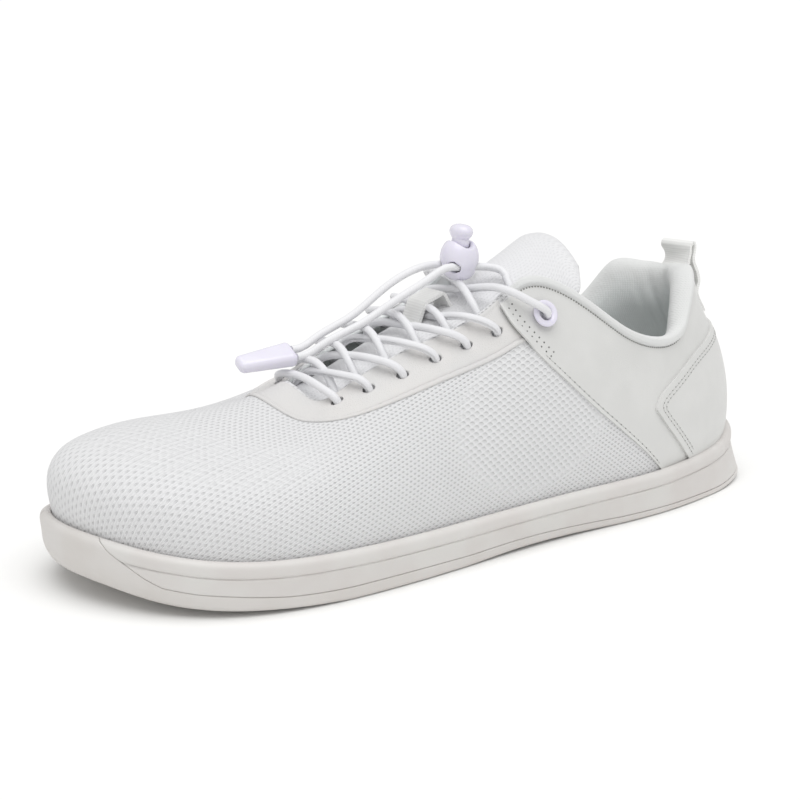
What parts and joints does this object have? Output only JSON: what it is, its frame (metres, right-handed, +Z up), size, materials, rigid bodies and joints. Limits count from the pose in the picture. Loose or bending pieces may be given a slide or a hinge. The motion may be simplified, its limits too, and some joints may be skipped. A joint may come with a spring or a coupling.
{
  "type": "training shoe",
  "caption": "Low left training shoe with a wide flat rubber cup sole, a knit upper with smooth overlays, and an elastic lace drawn through a push-button cord lock",
  "frame": {"origin": "Middle of the sole's outline, on the floor plane under the sole", "axes": "+X towards the toe, +Y towards the outer side of the left foot, +Z up"},
  "size_m": [0.2845, 0.1076, 0.1073],
  "materials": {
    "rubber": "smooth matt white rubber",
    "knit": "white open knit",
    "overlay": "smooth white synthetic leather",
    "lining": "pale lining cloth",
    "webbing": "white ribbed webbing",
    "elastic": "white round elastic cord",
    "plastic": "glossy white plastic with a lilac cast"
  },
  "bodies": {
    "shoe": {"outsole": "rubber", "midsole": "rubber", "insole": "lining", "upper": "knit", "quarter": "overlay", "heel_counter": "overlay", "eyestay": "overlay", "eyelet_outer": "plastic", "eyelet_inner": "plastic", "tongue": "knit", "tongue_loop": "webbing", "pull_tab": "webbing", "lace_bar": "elastic", "lace_cross_1": "elastic", "lace_cross_2": "elastic", "lace_cross_3": "elastic", "lace_cross_4": "elastic", "lace_cross_5": "elastic", "lace_cross_6": "elastic", "lace_end_outer": "elastic", "lace_end_inner": "elastic", "cord_lock": "plastic", "cord_end": "plastic"},
    "button": {"cord_lock_button": "plastic"}
  },
  "joints": [
    {"name": "button_press", "type": "slide", "parent": "shoe", "child": "button", "axis": [0.0872, 0, -0.9962], "range_m": [0, 0.0025], "stiffness_N_per_m": 1200, "springref_m": -0.001}
  ]
}
